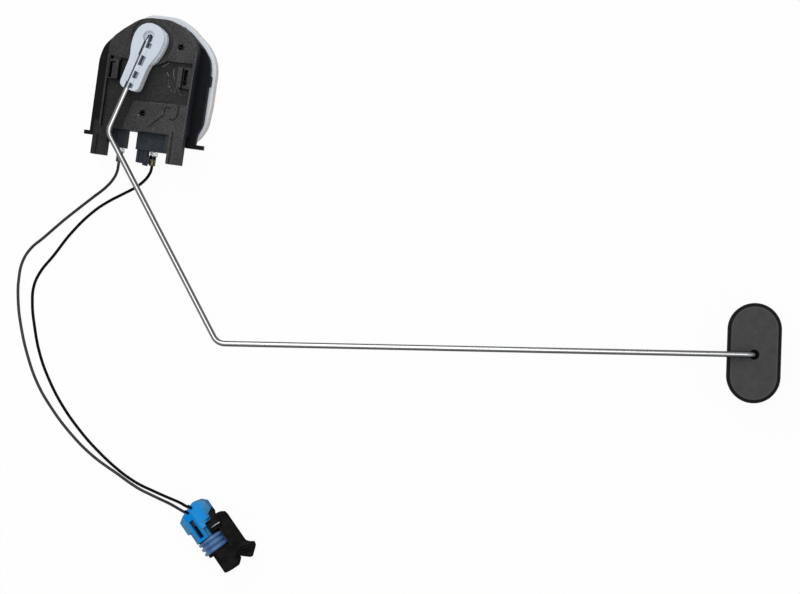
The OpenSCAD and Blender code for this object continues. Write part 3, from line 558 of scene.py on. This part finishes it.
# %% Geometry Nodes helpers
def geometry_tree(name, sockets):
    tree = bpy.data.node_groups.new(name, "GeometryNodeTree")
    tree.interface.new_socket("Geometry", in_out="INPUT", socket_type="NodeSocketGeometry")
    for label, kind in sockets:
        tree.interface.new_socket(label, in_out="INPUT", socket_type=kind)
    tree.interface.new_socket("Geometry", in_out="OUTPUT", socket_type="NodeSocketGeometry")
    return tree, tree.nodes.new("NodeGroupInput").outputs, tree.nodes.new("NodeGroupOutput").inputs


def close_tree(tree, shape, given, result):
    smooth = add(tree, "GeometryNodeSetShadeSmooth", links={"Geometry": shape})
    real = add(tree, "GeometryNodeRealizeInstances", links={"Geometry": smooth.outputs[0]})
    finish = add(tree, "GeometryNodeSetMaterial", links={"Geometry": real.outputs[0], "Material": given["Finish"]})
    tree.links.new(finish.outputs[0], result["Geometry"])


def grow(carrier, tree, values):
    modifier = carrier.modifiers.new(tree.name, "NODES")
    modifier.node_group = tree
    for item in tree.interface.items_tree:
        if item.in_out == "INPUT" and item.name in values:
            modifier[item.identifier] = values[item.name]
    depsgraph = bpy.context.evaluated_depsgraph_get()
    baked = bpy.data.meshes.new_from_object(carrier.evaluated_get(depsgraph))
    carrier.modifiers.remove(modifier)
    bpy.data.objects.remove(carrier)
    baked.materials.clear()
    baked.materials.append(values["Finish"])
    baked.polygons.foreach_set("material_index", [0] * len(baked.polygons))
    return baked


def settle(mesh, name, body, node=None):
    mesh.name = name
    piece = link_object(name, mesh)
    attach(piece, body)
    if node:
        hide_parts(node)
    print(name, "faces:", len(mesh.polygons), "materials:", [m.name for m in mesh.materials])
    return piece


# %% [markdown]
# ## The rod, swept along its centre line
# The rod is one length of drawn wire. Its centre line is a chain of straight runs with a round bend
# at every corner: tight ones where it turns down into the barrel and into the float, wider ones in
# the plane of the arm. A small tree sweeps a circle along that line, with the wire's radius and the
# number of sides as its inputs.

# %% Sweep the rod
ROD_R, ROD_Z = 1.3, 21.1
BARREL_END, FLOAT_END = 8.4, 1.0  # heights of the rod's two ends
RUNS = [(47.0, ROD_HEADING), (109.2, -54.0), (238.3, 6.9)]  # length and heading in degrees
BEND_RADII = [3.0, 6.0, 6.0, 3.0]


def rod_corners():
    place = Vector((0.0, 0.0, ROD_Z))
    corners = [Vector((0.0, 0.0, BARREL_END)), place.copy()]
    for length, turn in RUNS:
        place += length * Vector((math.cos(math.radians(turn)), math.sin(math.radians(turn)), 0.0))
        corners.append(place.copy())
    corners.append(Vector((place.x, place.y, FLOAT_END)))
    return corners


def rounded_path(corners, radii, steps=12):
    path = [corners[0]]
    for before, here, after, radius in zip(corners, corners[1:], corners[2:], radii):
        u, v = (before - here).normalized(), (after - here).normalized()
        half = u.angle(v) / 2
        centre = here + (u + v).normalized() * radius / math.sin(half)
        first = here + u * radius / math.tan(half) - centre
        last = here + v * radius / math.tan(half) - centre
        sweep = first.angle(last)
        for i in range(steps + 1):
            k = i / steps
            path.append(centre + (first * math.sin((1 - k) * sweep) + last * math.sin(k * sweep)) / math.sin(sweep))
    return path + [corners[-1]]


def wire_tree():
    tree, given, result = geometry_tree("swept_wire", [
        ("Radius", "NodeSocketFloat"), ("Sides", "NodeSocketInt"), ("Finish", "NodeSocketMaterial")])
    ring = add(tree, "GeometryNodeCurvePrimitiveCircle", links={
        "Radius": given["Radius"], "Resolution": given["Sides"]})
    sweep = add(tree, "GeometryNodeCurveToMesh", {"Fill Caps": True}, {
        "Curve": given["Geometry"], "Profile Curve": ring.outputs["Curve"]})
    close_tree(tree, sweep.outputs["Mesh"], given, result)
    return tree


def sweep_wire(name, lines, radius, sides, finish):
    curve = bpy.data.curves.new(name, "CURVE")
    curve.dimensions = "3D"
    for places in lines:
        line = curve.splines.new("POLY")
        line.points.add(len(places) - 1)
        for point, place in zip(line.points, places):
            point.co = (*(Vector(place) * MM), 1.0)
    return grow(link_object(name, curve), wire_tree(), {"Radius": radius * MM, "Sides": sides, "Finish": finish})


rod_path = rounded_path(rod_corners(), BEND_RADII)
settle(sweep_wire("rod_line", [rod_path], ROD_R, 32, rod_steel), "bent_rod", "arm", "float_arm")
print("points on the rod's centre line:", len(rod_path))

# %% [markdown]
# ## Painted edge highlights, glints and flow marks on the housing
# Light lines painted along the housing's sharpest edges stand in for their highlights, a few short pale blobs are
# painted glints, and the melt's flow leaves pale marks in the recess. Each is a hair-thin raised line, three tenths of
# a millimetre wide. They are swept with the same tree as the rod, from points on the surface, in millimetres.

# %% Sweep the painted highlights and flow marks
MARK_LINE_R = 0.15
# painted highlights along edges, mixed with flow marks in the recess
EDGE_HIGHLIGHT_AND_FLOW_LINES = [
    [(3.7, 7.5, 15.8), (5.7, 6.5, 15.8), (7.4, 5.1, 15.8), (8.7, 3.9, 15.9), (9.6, 2.4, 16.0),
     (10.3, 0.6, 16.2), (10.5, -1.5, 16.2), (10.3, -3.6, 16.2), (9.5, -5.7, 16.2), (8.6, -7.7, 16.2)],
    [(12.6, 7.2, 16.2), (15.0, 5.3, 16.2), (17.0, 3.5, 16.2), (18.9, 1.4, 16.2), (20.9, -1.3, 16.2)],
    [(11.9, 7.9, 8.1), (14.7, 5.9, 8.1), (17.4, 3.5, 8.1), (20.2, 0.9, 8.1), (22.1, -1.0, 8.1)],
    [(21.3, -3.6, 16.2), (21.5, -6.4, 16.2), (21.4, -9.3, 16.2), (21.2, -13.2, 16.2), (21.1, -17.4, 16.2),
     (21.1, -21.6, 16.2), (20.9, -25.3, 16.2), (20.7, -29.0, 16.2), (20.6, -31.8, 16.2), (20.4, -35.9, 16.2),
     (20.4, -40.0, 16.2), (20.5, -44.2, 16.2)],
    [(4.5, -11.4, 16.2), (5.7, -10.5, 16.2), (7.2, -9.4, 16.2)],
    [(9.4, -17.7, 14.2), (9.7, -19.0, 14.2), (10.0, -19.9, 14.2)],
    [(13.9, -20.2, 14.2), (13.4, -21.2, 14.2), (13.0, -23.7, 14.2)],
    [(14.4, -20.8, 14.2), (15.1, -22.5, 14.2), (15.9, -23.7, 14.2), (16.6, -24.2, 14.2)],
    [(2.9, -29.1, 16.2), (6.7, -29.0, 16.2), (10.4, -28.9, 16.2), (14.5, -28.7, 16.2)],
    [(11.1, -21.6, 14.2), (11.7, -23.2, 14.2)],
]
# painted glints, mixed with flow marks in the recess
GLINT_AND_FLOW_LINES = [
    [(5.8, -12.1, 14.2), (7.2, -11.1, 14.2), (8.5, -10.0, 14.2)],
    [(8.4, -14.3, 14.2), (8.9, -15.2, 14.2), (9.5, -16.0, 14.2)],
    [(11.4, -12.5, 14.2), (11.4, -14.0, 14.2), (11.7, -15.6, 14.2), (12.3, -16.9, 14.2)],
    [(10.1, -20.4, 14.2), (10.6, -21.0, 14.2)],
    [(12.2, -3.9, 16.2), (12.7, -4.3, 16.2)],
    [(-2.0, -35.3, 16.2), (-1.4, -35.7, 16.2)],
]
for name, lines, finish in (("edge_highlights_and_flow_marks", EDGE_HIGHLIGHT_AND_FLOW_LINES, edge_highlight_and_flow_mark), ("glints_and_flow_marks", GLINT_AND_FLOW_LINES, glint_and_flow_mark)):
    settle(sweep_wire(name, lines, MARK_LINE_R, 8, finish), name, "sender")
print("scuffed lines:", len(EDGE_HIGHLIGHT_AND_FLOW_LINES) + len(GLINT_AND_FLOW_LINES))

# %% [markdown]
# ## The ring seal of the plug
# The plug's seal is a silicone sleeve with three round ribs. Rib and sleeve are made once, standing
# on the z axis. The ribs are instances on a line of points, so their number and their pitch are
# inputs of the tree. The last step turns the seal on to the plug's own axis.

# %% Grow the ring seal
PLUG_AT, PLUG_TURN = Vector((46.0, -211.0, 0.0)), math.radians(-46.4)
ROUND_SIDES, RIB_SIDES = 72, 14


def plug_point(x, y, z):
    turned = Matrix.Rotation(PLUG_TURN, 4, "Z") @ Vector((x, y, z))
    return tuple(PLUG_AT + turned)


def seal_tree():
    tree, given, result = geometry_tree("ribbed_seal", [
        ("Ribs", "NodeSocketInt"), ("Pitch", "NodeSocketVector"), ("Rib radius", "NodeSocketFloat"),
        ("Ring radius", "NodeSocketFloat"), ("Sleeve radius", "NodeSocketFloat"), ("Sleeve length", "NodeSocketFloat"),
        ("Place", "NodeSocketVector"), ("Turn", "NodeSocketRotation"), ("Finish", "NodeSocketMaterial")])
    line = add(tree, "GeometryNodeMeshLine", links={"Count": given["Ribs"], "Offset": given["Pitch"]})
    hoop = add(tree, "GeometryNodeCurvePrimitiveCircle", {"Resolution": ROUND_SIDES}, {
        "Radius": given["Ring radius"]})
    bead = add(tree, "GeometryNodeCurvePrimitiveCircle", {"Resolution": RIB_SIDES}, {
        "Radius": given["Rib radius"]})
    rib = add(tree, "GeometryNodeCurveToMesh", links={
        "Curve": hoop.outputs["Curve"], "Profile Curve": bead.outputs["Curve"]})
    ribs = add(tree, "GeometryNodeInstanceOnPoints", links={
        "Points": line.outputs["Mesh"], "Instance": rib.outputs["Mesh"]})
    sleeve = add(tree, "GeometryNodeMeshCylinder", {"Vertices": ROUND_SIDES}, {
        "Radius": given["Sleeve radius"], "Depth": given["Sleeve length"]})
    inner = add(tree, "GeometryNodeTransform", links={
        "Geometry": sleeve.outputs["Mesh"], "Translation": given["Pitch"]})
    whole = add(tree, "GeometryNodeJoinGeometry")
    tree.links.new(inner.outputs[0], whole.inputs[0])
    tree.links.new(ribs.outputs[0], whole.inputs[0])
    turned = add(tree, "GeometryNodeTransform", links={
        "Geometry": whole.outputs[0], "Translation": given["Place"], "Rotation": given["Turn"]})
    close_tree(tree, turned.outputs[0], given, result)
    return tree


def grow_seal():
    mesh = grow(link_object("seal_carrier", bpy.data.meshes.new("seal_carrier")), seal_tree(), {
        "Ribs": 3, "Pitch": (0.0, 0.0, 2.4 * MM), "Rib radius": 0.82 * MM, "Ring radius": 5.88 * MM,
        "Sleeve radius": 5.6 * MM, "Sleeve length": 6.7 * MM,
        "Place": Vector(plug_point(16.2, 0.0, 7.1)) * MM, "Turn": (0.0, math.pi / 2, PLUG_TURN),
        "Finish": blue_silicone})
    return settle(mesh, "ribbed_seal", "sender", "plug_seal")


ribbed_seal = grow_seal()

# %% [markdown]
# ## Small mouldings of the plug
# Five small pieces finish the plug. A black bridge ties the latch to the cap's corner, a web closes the gap between
# ring seal and latch, a slim light rib along the latch's root is a painted highlight, and two dark plates are painted
# shade in the mouths where the leads dive into the cap. Each is a flat outline that is raised to its thickness and
# gets a rounded top edge. A row holds outline, low and high level, finish and slot.

# %% Raise the small plates
PLATES = {
    "plug_bridge": ([
        (56.8, -207.6), (58.2, -208.8), (58.7, -210.4), (60.0, -211.1), (61.2, -212.7), (58.0, -216.7),
        (58.7, -218.6), (57.8, -218.5), (55.5, -216.0), (57.3, -213.1), (57.1, -212.2), (55.7, -210.8),
    ], 12.0, 14.4, plug_black, "plug_moulding"),
    "seal_web": ([
        (56.9, -218.4), (59.4, -216.0), (67.2, -224.2), (65.6, -226.3),
    ], 4.0, 5.6, plug_black, "plug_moulding"),
    # a light rib painted as the highlight along the latch's root
    "latch_highlight_rib": ([
        (57.5, -216.67), (57.84, -217.08), (61.37, -214.05), (61.07, -213.64),
    ], 12.6, 13.7, latch_painted_highlight, "plug_moulding"),
    # dark plates painted as the shade in the leads' mouths
    "upper_mouth_shade": ([
        (45.9, -208.0), (48.1, -209.0), (47.6, -210.2), (45.3, -209.2),
    ], 14.0, 14.3, lead_jacket, "lead_jacket"),
    "lower_mouth_shade": ([
        (44.9, -210.6), (47.2, -211.6), (46.6, -212.8), (44.4, -211.8),
    ], 14.0, 14.3, lead_jacket, "lead_jacket"),
}


def raise_plate(name, outline, low, high, finish, slot):
    work = bmesh.new()
    ring = [work.verts.new(Vector((x, y, low)) * MM) for x, y in outline]
    base = work.faces.new(ring)
    grown = bmesh.ops.extrude_face_region(work, geom=[base])["geom"]
    risen = [v for v in grown if isinstance(v, bmesh.types.BMVert)]
    bmesh.ops.translate(work, verts=risen, vec=(0.0, 0.0, (high - low) * MM))
    top = [e for e in work.edges if all(v in risen for v in e.verts)]
    bmesh.ops.bevel(work, geom=top, offset=0.12 * MM, segments=2, profile=0.5, affect="EDGES")
    bmesh.ops.recalc_face_normals(work, faces=work.faces)
    mesh = bpy.data.meshes.new(name)
    work.to_mesh(mesh)
    work.free()
    mesh.materials.append(finish)
    plate = link_object(name, mesh)
    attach(plate, "sender")
    return plate


plates = [raise_plate(name, *settings) for name, settings in PLATES.items()]
print("plates:", [plate.name for plate in plates])

# %% [markdown]
# ## The two leads
# Each lead is a thin wire in a tough black jacket. It leaves its crimp straight, sinks to the
# table within a few centimetres, swings out in a wide bow and climbs into the plug. The points
# repeat the route of the CAD solid, and a Bezier curve with automatic handles runs smoothly
# through them.

# %% Lead routes, in millimetres
LEFT_ROUTE = [
    (-10.2, -57.4, 9.0), (-10.2, -58.6, 8.9), (-10.8, -61.6, 7.4), (-13.0, -65.4, 4.6), (-17.0, -69.9, 2.2),
    (-22.6, -75.0, 1.0), (-28.6, -80.8, 0.7), (-34.8, -87.0, 0.7), (-44.0, -97.0, 0.7), (-49.4, -102.8, 0.7),
    (-52.4, -109.0, 0.7), (-53.2, -117.0, 0.7), (-52.0, -128.0, 0.7), (-48.9, -139.6, 0.7), (-43.9, -152.4, 0.7),
    (-37.2, -164.8, 0.7), (-29.0, -175.0, 0.7), (-18.4, -185.2, 0.7), (-6.6, -193.9, 0.7), (8.4, -201.5, 0.7),
    (13.6, -204.1, 0.7), (18.8, -206.3, 0.75), (24.0, -207.8, 1.2), (29.3, -209.1, 2.4), (34.9, -210.3, 4.4),
    (39.4, -211.5, 6.4), (42.9, -212.5, 7.9),
]
RIGHT_ROUTE = [
    (5.7, -57.4, 9.0), (5.7, -58.6, 8.9), (4.6, -61.2, 7.4), (1.6, -64.6, 4.6), (-3.0, -68.2, 2.2),
    (-9.0, -72.0, 1.0), (-15.0, -76.0, 0.7), (-21.0, -81.0, 0.7), (-30.6, -92.6, 0.7), (-37.8, -104.4, 0.7),
    (-43.4, -113.4, 0.7), (-45.4, -120.0, 0.7), (-45.0, -128.0, 0.7), (-42.4, -138.6, 0.7), (-38.0, -151.0, 0.7),
    (-32.0, -162.0, 0.7), (-23.6, -173.4, 0.7), (-13.4, -183.8, 0.7), (-4.4, -191.2, 0.7), (8.0, -199.4, 0.7),
    (13.3, -202.1, 0.7), (18.5, -204.2, 0.75), (23.7, -205.6, 1.2), (29.0, -206.8, 2.4), (34.5, -207.8, 4.4),
    (40.1, -208.8, 6.6), (43.7, -209.8, 8.0),
]
LEFT_ROUTE += [plug_point(1, -2.1, 8.4), plug_point(4.2, -1.6, 8.4), plug_point(6.0, -1.6, 8.4)]
RIGHT_ROUTE += [plug_point(1, 1.2, 8.4), plug_point(4.2, 1.4, 8.4), plug_point(6.0, 1.4, 8.4)]
WIRE_D = 1.4 * MM


def route_length(route):
    points = [Vector(p) * MM for p in route]
    return sum((b - a).length for a, b in zip(points, points[1:]))


print("lead lengths in mm:", round(route_length(LEFT_ROUTE) * 1000), round(route_length(RIGHT_ROUTE) * 1000))


# %% Draw the leads as cords
def make_lead(name, route, node, finish):
    curve = bpy.data.curves.new(name, "CURVE")
    curve.dimensions = "3D"
    curve.bevel_depth = WIRE_D / 2
    curve.bevel_resolution = 4
    curve.resolution_u = 8
    curve.use_fill_caps = True
    line = curve.splines.new("BEZIER")
    line.bezier_points.add(len(route) - 1)
    for point, place in zip(line.bezier_points, route):
        point.co = Vector(place) * MM
        point.handle_left_type = point.handle_right_type = "AUTO"
    curve.materials.append(finish)
    lead = link_object(name, curve)
    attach(lead, "sender")
    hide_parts(node)
    return lead


plug_pieces = [cap_shell, plug_shell, ribbed_seal, *plates]
plug_pieces += [nodes[n] for n in ("wire_seal", "left_socket", "right_socket")]
left_lead = make_lead("left_lead", LEFT_ROUTE, "left_wire", lead_gloss)
right_lead = make_lead("right_lead", RIGHT_ROUTE, "right_wire", lead_jacket)
print("leads drawn:", left_lead.name, right_lead.name)


# %% [markdown]
# ## Table, backdrop and light
# The sender lies on a plain white table under a large soft light. The table is nearly plain white
# to the camera and to reflections, and an ordinary pale surface to the light that falls on it. The
# last twentieth of what the camera sees is that pale surface, which keeps the shadow.

# %% Floor and lights
TABLE_HALF, TABLE_Z = 3.0, -0.0004
WHITE_SHARE = 0.95
WHITE = paint("#ffffff")


def make_floor():
    mesh = bpy.data.meshes.new("table")
    corners = [(-1, -1), (1, -1), (1, 1), (-1, 1)]
    mesh.from_pydata([(x * TABLE_HALF, y * TABLE_HALF, TABLE_Z) for x, y in corners], [], [(0, 1, 2, 3)])
    table = link_object("table", mesh)
    material = bpy.data.materials.new("table_white")
    material.use_nodes = True
    tree = material.node_tree
    tree.nodes.clear()
    plain = add(tree, "ShaderNodeBsdfDiffuse", {"Color": paint("#f4f4f4")})
    glow = add(tree, "ShaderNodeEmission", {"Color": WHITE, "Strength": 1.0})
    rays = add(tree, "ShaderNodeLightPath").outputs
    seen = combine(tree, "MAXIMUM", rays["Is Camera Ray"], rays["Is Glossy Ray"])
    both = combine(tree, "MAXIMUM", seen, rays["Is Transmission Ray"])
    part = add(tree, "ShaderNodeMath", {1: WHITE_SHARE}, {0: both}, operation="MULTIPLY")
    mix = add(tree, "ShaderNodeMixShader", links={0: part.outputs[0], 1: plain.outputs[0], 2: glow.outputs[0]})
    add(tree, "ShaderNodeOutputMaterial", links={"Surface": mix.outputs[0]})
    mesh.materials.append(material)
    return table


def soft_light(name, place, target, size, power):
    lamp = bpy.data.lights.new(name, "AREA")
    lamp.shape = "SQUARE"
    lamp.size = size
    lamp.energy = power
    light = link_object(name, lamp)
    light.location = place
    light.rotation_euler = (Vector(target) - Vector(place)).to_track_quat("-Z", "Y").to_euler()
    return light


def make_world():
    world = bpy.data.worlds.new("studio_air")
    world.use_nodes = True
    tree = world.node_tree
    tree.nodes.clear()
    air = add(tree, "ShaderNodeBackground", {"Color": WHITE, "Strength": 0.4})
    backdrop = add(tree, "ShaderNodeBackground", {"Color": WHITE, "Strength": 1.0})
    rays = add(tree, "ShaderNodeLightPath")
    mix = add(tree, "ShaderNodeMixShader", links={
        0: rays.outputs["Is Camera Ray"], 1: air.outputs[0], 2: backdrop.outputs[0]})
    add(tree, "ShaderNodeOutputWorld", links={"Surface": mix.outputs[0]})
    bpy.context.scene.world = world


# Each row is place, target, size in metres and power in watts.
LAMPS = {
    "overhead_softbox": ((0.05, 0.0, 1.4), (0.1, -0.1, 0.0), 0.8, 5.0),
    "upper_left_softbox": ((-0.35, 0.75, 0.95), (0.05, -0.08, 0.0), 0.8, 5.5),
    "right_fill": ((0.85, -0.25, 0.8), (0.05, -0.08, 0.0), 1.2, 2.0),
}
make_floor()
make_world()
lights = [soft_light(name, *settings) for name, settings in LAMPS.items()]
bpy.context.scene.view_settings.view_transform = "Standard"
print("stage set with", [light.name for light in lights])
